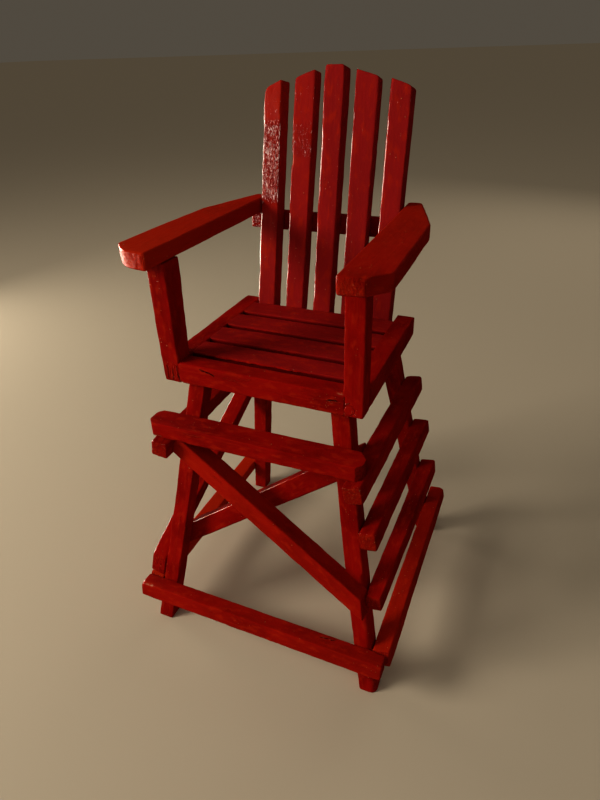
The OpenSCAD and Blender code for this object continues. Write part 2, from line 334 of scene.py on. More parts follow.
# Round spots that are crumbly too: place as shares of the node's box, reach in millimetres, how strong
CRUMBLY_SPOTS = {
    "left_armrest": [((0.0, 0.0, 0.5), 8.0, 0.6), ((0.4, 0.0, 0.5), 8.0, 0.5)],
    "right_armrest": [((0.3, 0.0, 0.4), 6.0, 0.25), ((0.55, 0.0, 0.2), 4.0, 0.3)],
    "left_arm_post": [((0.6, 0.0, 0.0), 9.0, 0.4)],
}

# Pieces with thin, orange paint, and pieces painted orange as painted warm light and reflection (the armrests and the
# bottom side rails): share of it at the low and at the high end
THIN_PAINT_AND_LIGHT = {
    "back_slat_1": (0.0, 0.35),
    "back_slat_2": (0.0, 0.1),
    "left_armrest": (0.9, 0.5),
    "right_armrest": (0.25, 0.6),
    "bottom_front_rail": (0.1, 0.2),
    "bottom_left_rail": (1.0, 1.0),
    "bottom_right_rail": (0.5, 0.3),
    "front_brace": (0.3, 0.15),
}

# How glossy the arrises are, where not as on the others, by a part of the name
GLOSSY = {"armrest": 0.0, "bottom_left_rail": 0.0, "inner_front_brace": 0.35, "back_slat": 1.7}

# How much painted cool sheen, a painted reflection, the red gets, by a part of the name
COOL_SHEEN = {"back_slat": 1.0, "seat_board": 0.7}


class Wear:
    """How one piece was cut and rubbed, in millimetres, and its number of dents.

    edge and end are the rounding of its arrises and ends, wave and lumps how uneven its sides and ends are, and
    into is how far its ends run into its neighbours, so that paint closes the seam.
    """

    def __init__(self, edge=1.0, end=0.8, wave=0.22, lumps=0.2, dents=4, into=0.0):
        self.edge, self.end, self.wave, self.lumps, self.dents, self.into = edge, end, wave, lumps, dents, into


LONG_END = Wear(edge=1.3, end=1.1, wave=0.28, lumps=0.3, dents=5)
COMMON = Wear(edge=1.1, end=0.9, wave=0.25)

# The wear of pieces that aren't like the common ones, by a part of the name
WEARS = {
    "_leg": Wear(edge=1.1, wave=0.28),
    "left_armrest": Wear(edge=1.5, end=1.1, wave=0.3, lumps=0.8, dents=3),
    "right_armrest": Wear(edge=1.5, end=1.1, wave=0.3, lumps=0.35, dents=3),
    "back_slat": Wear(edge=1.1, end=0.8, wave=0.3, lumps=0.12),
    "seat_board": Wear(edge=0.9, end=0.2, wave=0.12, lumps=0.0, dents=2, into=0.6),
    "seat_rail": Wear(edge=1.0, end=0.8, wave=0.12, dents=3),
    "seat_apron": Wear(edge=1.1, end=0.2, wave=0.15, lumps=0.0, into=0.6),
    "upper_": LONG_END,
    "_step": LONG_END,
    "arm_back_rail": LONG_END,
    "footrest_board": Wear(edge=0.8, end=0.5, wave=0.25, lumps=0.3),
}


def by_name(table, node, otherwise):
    """The value under the first key that is a part of the node's name."""
    return next((value for key, value in table.items() if key in node), otherwise)


class Blank:
    """The skin of one piece before it is worn: rings of points from its low end to its high end, in millimetres.

    A plate lies flat, with its grain along Y. Its low and high ends are its two broad faces.
    """

    WIDEST_ARRIS = 0.42  # A rounded arris takes at most this share of the side beside it
    SHARPEST = 0.15  # The least rounding of an arris
    TURNS = [math.radians(a) for a in (90, 60, 30)]  # Steps of the rounding at an end
    END_TURN = math.radians(45)  # What is turned further belongs to the end's face
    CAP = np.array((0.12, 0.3, 0.5, 0.7, 0.88))  # Rings across an end, as shares of its size
    PLATE_CAP = np.linspace(0.06, 0.95, 14)  # Rings across a plate's broad face
    PLATE_END = (0.75, 0.9)  # A plate's faces turn into its end grain between these shares of Y in the normal
    MEAN_WEAR, UNEVEN_WEAR, WEAR_LENGTH = 0.85, 0.45, 7.0  # An arris's rounding, how uneven it is, over what length
    END_WEAR, END_REACH = 0.5, 4.0  # How much more an arris is rounded at an end, and how far from it

    def __init__(self, node, seed, wear, level_ends=False, plate=False):
        self.node, self.seed, self.wear, self.plate = node, seed, wear, plate
        self.stock = stock = Stock(node, UP if plate else None, level_ends)
        for (u, v), at_high, depth, slope in NIPPED.get(node, []):
            stock.nip(u, v, at_high, depth, math.radians(slope))
        self.plain = plain = stock.outline()
        count = len(plain)
        sides = [np.linalg.norm(plain[(k + 1) % count] - plain[k]) for k in range(count)]
        self.per_side = [max(2, round(s / STEP)) for s in sides]
        self.middle = plain.mean(0)[None]
        low, high = stock.ends(self.middle)
        self.low, self.length = low[0], float(high[0] - low[0])
        self.blunt, self.limits = [], []
        for k in range(count):
            u, v = plain[k - 1] - plain[k], plain[(k + 1) % count] - plain[k]
            half = math.acos(float(u @ v) / np.linalg.norm(u) / np.linalg.norm(v)) / 2
            self.blunt.append(math.tan(half))
            self.limits.append(self.WIDEST_ARRIS * min(sides[k - 1], sides[k]) * math.tan(half))
        self.rings = []
        self.add_cap(-1)
        for turn in self.TURNS:
            self.add_ring(0.0, -1, turn)
        stations = max(4, round((self.length - 2 * wear.end) / STEP))
        for i in range(stations + 1):
            self.add_ring(self.length * i / stations)
        for turn in reversed(self.TURNS):
            self.add_ring(self.length, 1, turn)
        self.add_cap(1)
        self.join_rings()
        self.measure()

    def ends(self, ab):
        low, high = self.stock.ends(ab)
        return low - self.wear.into, high + self.wear.into

    def outline(self, at, inset):
        """The rounded cross-section at a distance from the low end, moved in by inset, and its normals."""
        # Each arris of each piece has its own stretch of noise
        spots = np.array([[self.seed * 31.0 + k * 57.0, at, 0.0] for k in range(len(self.plain))])
        end_wear = math.exp(-min(at, self.length - at) / self.END_REACH) * self.END_WEAR
        wanted = []
        for blunt, uneven in zip(self.blunt, wobble(spots, self.WEAR_LENGTH, self.seed)):
            wanted.append(self.wear.edge * blunt * (self.MEAN_WEAR + self.UNEVEN_WEAR * uneven + end_wear))
        for (u, v), start, stop, radius in ARRISES.get(self.node, []):
            k = int(np.argmax(self.plain @ [u, v]))
            share = at / self.length
            inside = smooth(share, start - FADE, start) * (1 - smooth(share, stop, stop + FADE))
            wanted[k] += (radius * wanted[k] / self.wear.edge - wanted[k]) * inside
        radii = [max(self.SHARPEST, min(r, limit) - inset) for r, limit in zip(wanted, self.limits)]
        return rounded(self.stock.outline(inset), radii, self.per_side, CORNERS)

    def add_ring(self, at, end=0, turn=0.0):
        """One closed line round the sides, or round the rounding of the low end (-1) or the high end (1)."""
        stock, rounding = self.stock, self.wear.end
        ab, out = self.outline(at, rounding * (1 - math.cos(turn)))
        setback = rounding * (1 - math.sin(turn))
        low, high = self.ends(ab)
        if end:
            along = low + setback if end < 0 else high - setback
        else:
            along = low + rounding + (high - low - 2 * rounding) * at / self.length
        flat = out[:, :1] * stock.e1 + out[:, 1:] * stock.e2
        normals = flat * math.cos(turn) + stock.axis * math.sin(turn) * (end or 1)
        self.rings.append((stock.place(ab, along), normals, np.full(len(ab), float(turn > self.END_TURN))))

    def add_cap(self, end):
        """Rings across an end, from the middle out at the low end, and back in at the high end."""
        ab, _ = self.outline(0.0 if end < 0 else self.length, self.wear.end)
        shares = self.PLATE_CAP if self.plate else self.CAP
        for share in shares if end < 0 else shares[::-1]:
            inner = self.middle + (ab - self.middle) * share
            low, high = self.ends(inner)
            points = self.stock.place(inner, low if end < 0 else high)
            self.rings.append((points, np.tile(self.stock.axis * end, (len(ab), 1)), np.ones(len(ab))))

    def join_rings(self):
        points, normals, caps = zip(*self.rings)
        tips = [self.stock.place(self.middle, along) for along in self.ends(self.middle)]
        self.co = np.vstack([*points, *tips])
        self.normals = np.vstack([*normals, -self.stock.axis, self.stock.axis])
        self.cap = np.append(np.concatenate(caps), [1.0, 1.0])
        around, last = len(points[0]), len(points) - 1
        low_tip, high_tip = len(self.co) - 2, len(self.co) - 1
        self.faces = []
        for k in range(last):
            for j in range(around):
                a, b = k * around + j, k * around + (j + 1) % around
                self.faces.append((a, b, b + around, a + around))
        for j in range(around):
            after = (j + 1) % around
            self.faces.append((low_tip, after, j))
            self.faces.append((high_tip, last * around + j, last * around + after))

    def measure(self):
        """Where each point lies in the wood, before wear: across, across and along, and its share of the length."""
        stock = self.stock
        self.share = (self.co @ stock.axis - self.low) / self.length
        self.across = np.stack([self.co @ stock.e1, self.co @ stock.e2], 1) - self.middle[0]
        if self.plate:
            self.grain = np.stack([self.across[:, 0], self.share * self.length, self.across[:, 1]], 1)
            self.cap = smooth(np.abs(self.normals @ stock.e2), *self.PLATE_END)
            self.share = (self.across[:, 1] - self.across[:, 1].min()) / np.ptp(self.across[:, 1])
        else:
            self.grain = np.column_stack([self.across, self.share * self.length])


def crumbly_places(blank):
    """How crumbly the paint is at each point, from 0 to 1."""
    co, share = blank.co, blank.share
    crumbly = np.zeros(len(co))
    for start, stop, strength in CRUMBLY.get(blank.node, []):
        inside = smooth(share, start - FADE, start + FADE) * (1 - smooth(share, stop - FADE, stop + FADE))
        crumbly = np.maximum(crumbly, strength * inside)
    for place, reach, strength in CRUMBLY_SPOTS.get(blank.node, []):
        spot = co.min(0) + np.ptp(co, axis=0) * place
        crumbly = np.maximum(crumbly, strength * near_to(spot, co, reach * 0.5, reach))
    # On the back of the chair, only the fronts and ends of the pieces are crumbly
    if blank.node.startswith("back_slat") or blank.node == "arm_back_rail":
        crumbly *= np.maximum(blank.cap, smooth(-blank.normals[:, 1], *FRONT))
    return crumbly


def made_uneven(blank, crumbly):
    """The points moved in and out, as hand tools and thick paint leave them."""
    co, seed, wear = blank.co, blank.seed, blank.wear
    lift = wear.wave * sum(share * wobble(co, size, seed + own) for size, share, own in WAVES)
    lift += blank.cap * wear.lumps * (wobble(co, END_LUMP, seed + 11) - END_HOLLOW)
    lift += crumbly * CRUMB_HEIGHT * wobble(co / CRUMB_SHAPE, CRUMB, seed + 13)
    return co + blank.normals * (lift - PULLED_IN)[:, None]


def chipped(blank, co, draw):
    """The points with the listed chips and some drawn dents, and how bare each point is."""
    stock, plain, edge = blank.stock, blank.plain, blank.wear.edge
    listed = CHIPS.get(blank.node, [])
    chips = list(listed)
    for _ in range(blank.wear.dents):
        u, v = draw.choice([-1, 1], 2)
        at_end = draw.random() < AT_ENDS
        w = float(draw.integers(0, 2)) if at_end else float(draw.uniform(*ALONG))
        depth = draw.uniform(*(END_DENT_DEPTH if at_end else DENT_DEPTH))
        chips.append(((u, v, w), depth, draw.uniform(*DENT_REACH)))
    bare = np.zeros(len(co))
    for number, ((u, v, w), depth, reach) in enumerate(chips):
        if u and v:
            corner = plain[np.argmax(plain @ [u, v])]
        else:
            corner = (plain.max(0) + plain.min(0)) / 2 + [u * np.ptp(plain[:, 0]) / 2, v * np.ptp(plain[:, 1]) / 2]
        low, high = stock.ends(corner[None])
        point = stock.place(corner[None], low + (high - low) * w)[0]
        a, b = corner - blank.middle[0]
        way = a * stock.e1 + b * stock.e2
        slant = END_SLANT if w == 1 else -END_SLANT if w == 0 else 0.0
        way = way / np.linalg.norm(way) + stock.axis * slant
        way /= np.linalg.norm(way)
        flat_at = float(way @ point) - FLAT_IN * edge - depth
        over = co @ way - flat_at + FLAT_HEIGHT * wobble(co, FLAT_LUMP, blank.seed + 3)
        over = np.maximum(over, 0.0) * near_to(point, co, reach * 0.6, reach)
        co = co - way * over[:, None]
        if number < len(listed) and depth > CHIPPED_OFF:
            bare = np.maximum(bare, smooth(over, BARE_DEPTH, BARE_DEPTH + BARE_BLEND))
    return co, bare


def set_askew(blank, co):
    """The points of a piece that is swollen, twisted and out of place as the tables say."""
    stock, share, node = blank.stock, blank.share, blank.node
    for (u, v), at_low, at_high in SWOLLEN.get(node, []):
        outward = blank.across @ [u, v]
        out = (outward - outward.min()) / np.ptp(outward) * (at_low + (at_high - at_low) * share)
        co = co + np.outer(out, u * stock.e1 + v * stock.e2)
    start, stop = np.radians(TWISTED.get(node, (0.0, 0.0)))
    turn = start + (stop - start) * share
    a, b = np.stack([co @ stock.e1, co @ stock.e2]) - blank.middle[0][:, None]
    co = co + np.outer(a * np.cos(turn) - b * np.sin(turn) - a, stock.e1)
    co = co + np.outer(a * np.sin(turn) + b * np.cos(turn) - b, stock.e2)
    low, high, bow = (*ASKEW.get(node, (STILL, STILL)), STILL)[:3]
    return co + np.outer(1 - share, low) + np.outer(share, high) + np.outer(4 * share * (1 - share), bow)


def new_object(name, points, faces):
    """An object with smooth shading, linked to the scene, from points in metres."""
    mesh = bpy.data.meshes.new(name)
    mesh.from_pydata(points, [], faces)
    mesh.polygons.foreach_set("use_smooth", [True] * len(mesh.polygons))
    mesh.update()
    made = bpy.data.objects.new(name, mesh)
    bpy.context.scene.collection.objects.link(made)
    return made


def store_grain(mesh, places):
    data = mesh.attributes.new("grain", "FLOAT_VECTOR", "POINT").data
    data.foreach_set("vector", np.array(places, np.float32).ravel())


def own_origin(seed):
    """Each piece has its own part of the grain pattern, this far from the others, in metres."""
    return np.array([seed * 0.37, seed * 0.11, seed * 0.53])


ARRIS = (0.985, 0.93)  # From the first to the second cosine to the nearest side, a side turns into an arris
SLOT_SIDE, SLOT_DEPTH = (0.5, 0.8), (0.6, 1.3)  # A seat board's sides get painted shade from this turn and this depth on


def carve(node, seed):
    """A worn copy of a CAD node, in its place, with what the paint has to know stored at its points."""
    blank = Blank(node, seed, by_name(WEARS, node, COMMON), node.endswith("_leg"), node.endswith("armrest"))
    stock, share, cap, count = blank.stock, blank.share, blank.cap, len(blank.co)
    draw = np.random.default_rng(seed)
    crumbly = crumbly_places(blank)
    co, bare = chipped(blank, made_uneven(blank, crumbly), draw)
    co = set_askew(blank, co)
    piece = new_object(node + "_worn", (co * MM).tolist(), blank.faces)
    store_grain(piece.data, blank.grain * MM + own_origin(seed))

    orange_low, orange_high = THIN_PAINT_AND_LIGHT.get(node, (0.0, 0.0))
    facing = np.max([blank.normals @ (a * stock.e1 + b * stock.e2) for _, a, b, _ in stock.sides], axis=0)
    slot = np.zeros(count)
    # The sides of the seat boards, down in the slots, get painted shade
    if node.startswith("seat_board"):
        below_top = blank.across[:, 1].max() - blank.across[:, 1]
        slot = smooth(np.abs(blank.normals @ stock.e1), *SLOT_SIDE) * smooth(below_top, *SLOT_DEPTH)
    paint = {
        "end_grain": cap,
        "crumbly": crumbly,
        "bare": bare,
        "tone": np.full(count, draw.uniform(0.0, 1.0)),
        "thin_paint_and_light": orange_low + (orange_high - orange_low) * share,
        "arris": smooth(facing, *ARRIS) * (1 - cap) * by_name(GLOSSY, node, 1.0),
        "slot": slot,
        "cool_sheen": np.full(count, by_name(COOL_SHEEN, node, 0.0)),
    }
    for key, values in paint.items():
        piece.data.attributes.new(key, "FLOAT", "POINT").data.foreach_set("value", values.astype(np.float32))
    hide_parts(node)
    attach(piece, "root")
    return piece


# ---------- Material ----------


class Tree:
    """Short names for making and joining shader nodes."""

    def __init__(self, name):
        self.material = bpy.data.materials.new(name)
        self.material.use_nodes = True
        self.nodes = self.material.node_tree.nodes
        self.links = self.material.node_tree.links
        self.shader = self.nodes["Principled BSDF"]

    def add(self, kind, **values):
        node = self.nodes.new("ShaderNode" + kind)
        for key, value in values.items():
            setattr(node, key, value)
        return node

    def put(self, socket, value):
        if isinstance(value, bpy.types.NodeSocket):
            self.links.new(value, socket)
        else:
            socket.default_value = value

    def set(self, node, **inputs):
        for key, value in inputs.items():
            self.put(node.inputs[key.replace("_", " ")], value)
        return node

    def attribute(self, name, output="Fac"):
        return self.add("Attribute", attribute_name=name).outputs[output]

    def scaled(self, vector, size):
        """vector divided by size, given in millimetres for each direction."""
        node = self.add("Mapping")
        self.links.new(vector, node.inputs["Vector"])
        node.inputs["Scale"].default_value = [1 / (s * MM) for s in size]
        return node.outputs["Vector"]

    def noise(self, vector, size, detail=2.0, rough=0.5, distortion=0.0):
        node = self.add("TexNoise")
        self.set(node, Vector=self.scaled(vector, size), Scale=1.0)
        self.set(node, Detail=detail, Roughness=rough, Distortion=distortion)
        return node.outputs["Fac"]

    def dots(self, vector, size, reach, amount):
        """Round specks about size apart, 0 to 1 high. Only the given amount of the places have one."""
        cells = self.add("TexVoronoi", feature="F1")
        self.set(cells, Vector=self.scaled(vector, (size, size, size)), Scale=1.0, Randomness=1.0)
        lot = self.add("SeparateColor")
        self.links.new(cells.outputs["Color"], lot.inputs["Color"])
        chosen = self.math("LESS_THAN", lot.outputs[0], amount)
        return self.math("MULTIPLY", self.ramp(cells.outputs["Distance"], reach, reach * 0.3), chosen)

    def ramp(self, value, low, high, to_low=0.0, to_high=1.0):
        node = self.add("MapRange", interpolation_type="SMOOTHSTEP")
        self.set(node, Value=value, From_Min=low, From_Max=high, To_Min=to_low, To_Max=to_high)
        return node.outputs["Result"]

    def math(self, operation, a, b=0.0):
        node = self.add("Math", operation=operation)
        self.put(node.inputs[0], a)
        self.put(node.inputs[1], b)
        return node.outputs["Value"]

    def product(self, *values):
        out = values[0]
        for value in values[1:]:
            out = self.math("MULTIPLY", out, value)
        return out

    def total(self, *values):
        out = values[0]
        for value in values[1:]:
            out = self.math("ADD", out, value)
        return out

    def mix(self, share, a, b):
        node = self.add("Mix", data_type="RGBA")
        for socket, value in ((node.inputs[0], share), (node.inputs[6], a), (node.inputs[7], b)):
            self.put(socket, value)
        return node.outputs[2]


RED = (0.36, 0.0075, 0.004, 1.0)
MAUVE_SHEEN = (0.31, 0.019, 0.022, 1.0)  # Painted reflection: a cooler red that stands in for a faint cool sheen on the back and the seat
ORANGE = (0.50, 0.042, 0.007, 1.0)  # Crumbly paint on end grain
DEEP = (0.17, 0.002, 0.0015, 1.0)  # Thick paint, and paint sunk in the pores
THIN_AND_LIT = (0.47, 0.026, 0.006, 1.0)  # Thin paint over wood, and painted warm light on some pieces
PALE = (0.68, 0.23, 0.12, 1.0)  # Dust and dried crumbs in the paint, painted pale also as painted highlights of the light they catch
PAINTED_GLINT = (0.95, 0.70, 0.74, 1.0)  # Painted highlight: glints of light on crumbs, painted as colour
BARE = (0.60, 0.34, 0.22, 1.0)  # Filler and wood in a chip
DARK = (0.03, 0.001, 0.001, 1.0)  # Inside of a crack
SLOT_SHADE = (0.085, 0.001, 0.001, 1.0)  # Painted shade in the slots of the seat
COPPERY = (1.0, 0.5, 0.38, 1.0)  # Tint of the shine under the coat

BEND = 2.6 * MM  # How far a crack or ridge strays from a straight line
SKIN = (2.5 * MM, 1.5 * MM)  # A mark fades out between these depths, so that it stays on its own face


def add_marks(t, grain, origin, marks, colour, height):
    """colour and height with the marks worked into them, for a piece whose grain starts at origin."""
    parts = t.add("SeparateXYZ")
    t.links.new(grain, parts.inputs[0])
    bend = t.math("MULTIPLY", t.math("SUBTRACT", t.noise(grain, (3.0, 3.0, 4.0), detail=1.0), 0.5), BEND)
    for kind, place, length, width, slant in marks:
        dx, dy, dz = (t.math("SUBTRACT", parts.outputs[k], float(origin[k]) + place[k] * MM) for k in range(3))
        if kind == "plug":
            from_middle = t.math("SQRT", t.total(t.math("MULTIPLY", dx, dx), t.math("MULTIPLY", dz, dz)))
            off = t.math("ABSOLUTE", t.math("SUBTRACT", from_middle, length / 2 * MM))
            ring = t.product(t.ramp(off, width * MM, 0.0), t.ramp(t.math("ABSOLUTE", dy), *SKIN))
            height = t.total(height, t.math("MULTIPLY", ring, -0.35))
            continue
        # A line lies in the face that its longer offset from the middle points to
        flat, deep = (dx, dy) if abs(place[1]) > abs(place[0]) else (dy, dx)
        off = t.math("ABSOLUTE", t.math("SUBTRACT", t.total(flat, bend), t.math("MULTIPLY", dz, slant)))
        near = t.product(
            t.ramp(t.math("ABSOLUTE", dz), length * 0.5 * MM, length * 0.35 * MM),
            t.ramp(t.math("ABSOLUTE", deep), *SKIN),
        )
        line = t.product(t.ramp(off, width * MM, width * 0.4 * MM), near)
        # A ridge is raised, and painted lighter as thin paint and as a painted highlight along it. A crack is dark and
        # sunk between two lips
        if kind == "ridge":
            colour = t.mix(t.math("MULTIPLY", line, 0.45), colour, THIN_AND_LIT)
            height = t.total(height, t.math("MULTIPLY", line, 0.5))
        else:
            lip = t.product(t.ramp(off, width * 3 * MM, width * MM), near)
            colour = t.mix(t.math("MULTIPLY", lip, 0.3), colour, THIN_AND_LIT)
            colour = t.mix(t.math("MULTIPLY", line, 0.95), colour, DARK)
            height = t.total(height, t.math("MULTIPLY", lip, 0.35), t.math("MULTIPLY", line, -1.0))
    return colour, height


def make_enamel(name, seed=0, marks=()):
    """Thick red enamel brushed on wood.

    A mark is a crack, a ridge of paint or a plugged nail hole: (kind, place, length, width, slant) with the place
    (across, across, along) in millimetres from the middle of the low end of the piece with that seed.
    """
    t = Tree(name)
    grain = t.attribute("grain", "Vector")
    end = t.attribute("end_grain")
    crumbly = t.attribute("crumbly")
    bare = t.attribute("bare")
    tone = t.attribute("tone")
    arris = t.attribute("arris")

    # Patterns, with the size of what they show in millimetres: across, across and along
    fibres = t.noise(grain, (0.5, 0.5, 14.0), detail=3.0, rough=0.6, distortion=0.5)
    streaks = t.noise(grain, (1.5, 1.5, 24.0), detail=2.0)
    clouds = t.noise(grain, (20.0, 20.0, 42.0), detail=3.0, rough=0.6)
    peel = t.noise(grain, (1.1, 1.1, 1.9), detail=2.0)
    lumps = t.noise(grain, (4.2, 4.2, 8.0), detail=2.0)
    rings = t.noise(grain, (0.7, 2.2, 40.0), detail=3.0, rough=0.65)
    crumbs = t.noise(grain, (1.0, 1.0, 1.9), detail=2.0, rough=0.6, distortion=0.6)
    ridges = t.noise(grain, (0.9, 0.9, 4.2), detail=2.0, distortion=1.2)
    facets = t.noise(grain, (1.9, 1.9, 3.0), detail=1.0, rough=0.4, distortion=0.7)
    flecks = t.noise(grain, (0.65, 0.65, 1.8), detail=1.0, distortion=0.8)
    patches = t.noise(grain, (5.0, 5.0, 11.0), detail=1.0)

    # Painted highlights: glints of light on the crumbs, painted into the colour where the paint is crumbly, most of all
    # along the arrises
    crumbly_side = t.math("MULTIPLY", crumbly, t.math("SUBTRACT", 1.0, end))
    glint_field = t.total(
        flecks,
        t.math("MULTIPLY", crumbly_side, 0.22),
        t.product(arris, crumbly_side, 0.07),
        t.ramp(patches, 0.35, 0.6, -0.06, 0.0),
    )
    painted_glints = t.math("MULTIPLY", t.ramp(glint_field, 0.79, 0.83), t.ramp(crumbly_side, 0.05, 0.2))
    nibs_and_glints = t.dots(grain, 4.1, 0.13, 0.2)
    specks = t.dots(grain, 1.5, 0.3, 0.10)
    speckled = t.ramp(clouds, 0.5, 0.6)

    # Colour, from the ground coat up
    pores = t.ramp(fibres, 0.38, 0.28)
    colour = t.mix(t.ramp(clouds, 0.36, 0.68, 0.0, 0.75), RED, DEEP)
    colour = t.mix(t.math("MULTIPLY", tone, 0.28), colour, DEEP)
    # Painted reflection: a faint cool sheen on the slats and the seat boards
    colour = t.mix(t.math("MULTIPLY", t.attribute("cool_sheen"), 0.65), colour, MAUVE_SHEEN)
    # Orange for thin paint, and painted warm light and reflection on the armrests and the bottom side rails
    colour = t.mix(t.attribute("thin_paint_and_light"), colour, THIN_AND_LIT)
    colour = t.mix(t.ramp(lumps, 0.5, 0.72, 0.0, 0.4), colour, THIN_AND_LIT)
    colour = t.mix(t.ramp(streaks, 0.55, 0.78, 0.0, 0.25), colour, THIN_AND_LIT)
    colour = t.mix(t.math("MULTIPLY", pores, 0.28), colour, DEEP)
    colour = t.mix(t.math("MULTIPLY", end, t.ramp(rings, 0.42, 0.6, 0.0, 0.7)), colour, DEEP)
    colour = t.mix(t.product(crumbly_side, crumbly_side, 0.8), colour, DEEP)
    colour = t.mix(t.math("MULTIPLY", crumbly_side, t.ramp(ridges, 0.48, 0.68, 0.0, 0.5)), colour, THIN_AND_LIT)
    colour = t.mix(t.product(crumbly, end, 0.7), colour, ORANGE)
    # Pale end crumbs, nibs and specks: dust and dried paint, and painted highlights of the light they catch
    pale_ends = t.product(end, t.ramp(crumbs, 0.6, 0.72), t.total(t.math("MULTIPLY", crumbly, 0.6), 0.12))
    pale_dots = t.total(t.math("MULTIPLY", nibs_and_glints, 0.7), t.product(specks, speckled, 0.4))
    colour = t.mix(t.math("MINIMUM", t.total(pale_ends, pale_dots), 0.85), colour, PALE)
    # Painted highlights: the glints on the crumbs
    colour = t.mix(t.math("MULTIPLY", painted_glints, 0.9), colour, PAINTED_GLINT)
    chipped = t.product(bare, t.ramp(crumbs, 0.34, 0.5))
    colour = t.mix(t.math("MULTIPLY", chipped, 0.8), colour, BARE)
    # Painted shade down the sides of the seat boards, in the slots between them
    colour = t.mix(t.math("MULTIPLY", t.attribute("slot"), 0.9), colour, SLOT_SHADE)

    # Relief, in millimetres
    height = t.total(
        t.math("MULTIPLY", streaks, 0.12),
        t.math("MULTIPLY", peel, 0.06),
        t.math("MULTIPLY", lumps, 0.25),
        t.math("MULTIPLY", fibres, 0.08),
        t.math("MULTIPLY", nibs_and_glints, 0.3),
        t.product(specks, speckled, 0.18),
        t.product(rings, end, 0.35),
        t.product(crumbs, end, 0.15),
        t.product(t.math("SUBTRACT", facets, 0.5), crumbly, crumbly, 1.3),
        t.product(t.math("SUBTRACT", ridges, 0.5), crumbly, 0.4),
        t.product(painted_glints, 0.25),
        t.product(bare, crumbs, 0.2),
    )

    if marks:
        colour, height = add_marks(t, grain, own_origin(seed), marks, colour, height)
    t.set(t.shader, Base_Color=colour)

    # Shine: a weak one from the paint itself, and a clear coat that is strongest on the arrises
    rough = t.total(t.ramp(streaks, 0.3, 0.75, 0.3, 0.46), t.math("MULTIPLY", end, 0.1), t.math("MULTIPLY", bare, 0.25))
    t.set(t.shader, Roughness=rough)
    for key, value in (("IOR", 1.5), ("Specular IOR Level", 0.02), ("Coat Roughness", 0.08), ("Coat IOR", 1.5)):
        t.shader.inputs[key].default_value = value
    t.shader.inputs["Specular Tint"].default_value = COPPERY
    coat = t.total(t.product(arris, t.ramp(streaks, 0.35, 0.6), 0.55), 0.1, t.math("MULTIPLY", crumbly_side, -0.06))
    t.set(t.shader, Coat_Weight=t.math("MULTIPLY", coat, t.ramp(end, 0.0, 1.0, 1.0, 0.25)))
    bump = t.add("Bump")
    t.set(bump, Height=height, Strength=1.0, Distance=MM)
    for socket in ("Normal", "Coat Normal"):
        t.links.new(bump.outputs["Normal"], t.shader.inputs[socket])
    return t.material


# ---------- Pieces ----------

enamel = make_enamel("red_enamel_brushed")

MARKS = {
    "seat_apron": [
        ("crack", (-6, 4.2, 21), 12, 0.6, -0.35),
        ("crack", (-6, 1.6, 105), 8, 0.4, 0.05),
        ("ridge", (-6, 0.6, 107), 9, 0.35, 0.1),
        ("ridge", (-6, 4.6, 48), 9, 0.3, 0.02),
        ("ridge", (-6, 2.0, 38), 11, 0.25, -0.03),
    ],
    "left_arm_post": [
        ("crack", (-3.0, -6, 7), 12, 0.28, 0.05),
        ("crack", (0.6, -6, 5), 10, 0.32, 0.1),
        ("ridge", (-1.2, -6, 6), 12, 0.5, 0.05),
        ("ridge", (2.6, -6, 8), 13, 0.5, -0.04),
        ("crack", (4.6, -6, 8), 12, 0.3, -0.03),
    ],
    "right_arm_post": [
        ("plug", (-2.2, -6, 4.5), 6.6, 0.5, 0.0),
        ("crack", (-4.5, -6, 8.5), 3, 0.4, 1.6),
        ("ridge", (-1.0, -6, 2.5), 5, 0.4, 0.2),
    ],
    "bottom_front_rail": [
        ("ridge", (5.0, 6, 156), 12, 0.5, 0.08),
        ("crack", (3.4, 6, 156), 12, 0.3, 0.1),
        ("ridge", (-6, -4.6, 133), 6, 0.5, 0.0),
    ],
    "front_left_leg": [("ridge", (0.5, -6, 96), 16, 0.35, 0.02), ("ridge", (-3.2, -6, 120), 12, 0.3, 0.0)],
    "front_brace": [("ridge", (-6, 3.6, 40), 12, 0.35, 0.05), ("ridge", (-6, -4.4, 96), 9, 0.35, 0.0)],
    "footrest_board": [("ridge", (-7, 2.6, 36), 16, 0.3, 0.0), ("ridge", (-7, -3.4, 92), 10, 0.3, 0.05)],
}

for number, node in enumerate(sorted(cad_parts)):
    seed = number + 1
    piece = carve(node, seed)
    own = make_enamel("red_enamel_" + node, seed, MARKS[node]) if node in MARKS else enamel
    piece.data.materials.append(own)


BEAD_STEP = 0.8 * MM  # Spacing of the mesh along a bead
BEAD_SIDES = 8
WANDER, WANDERS = 1.6, 9.0  # How far a bead wanders, and how often over its length
SWELL, SWELLS = 0.9, 31.0  # How much a bead's width varies round its mean, and how often
MEAN_WIDTH, LEAST_WIDTH = 0.75, 0.1  # Shares of the given radius
TAPER = 8  # An end tapers over one part in this many of the length


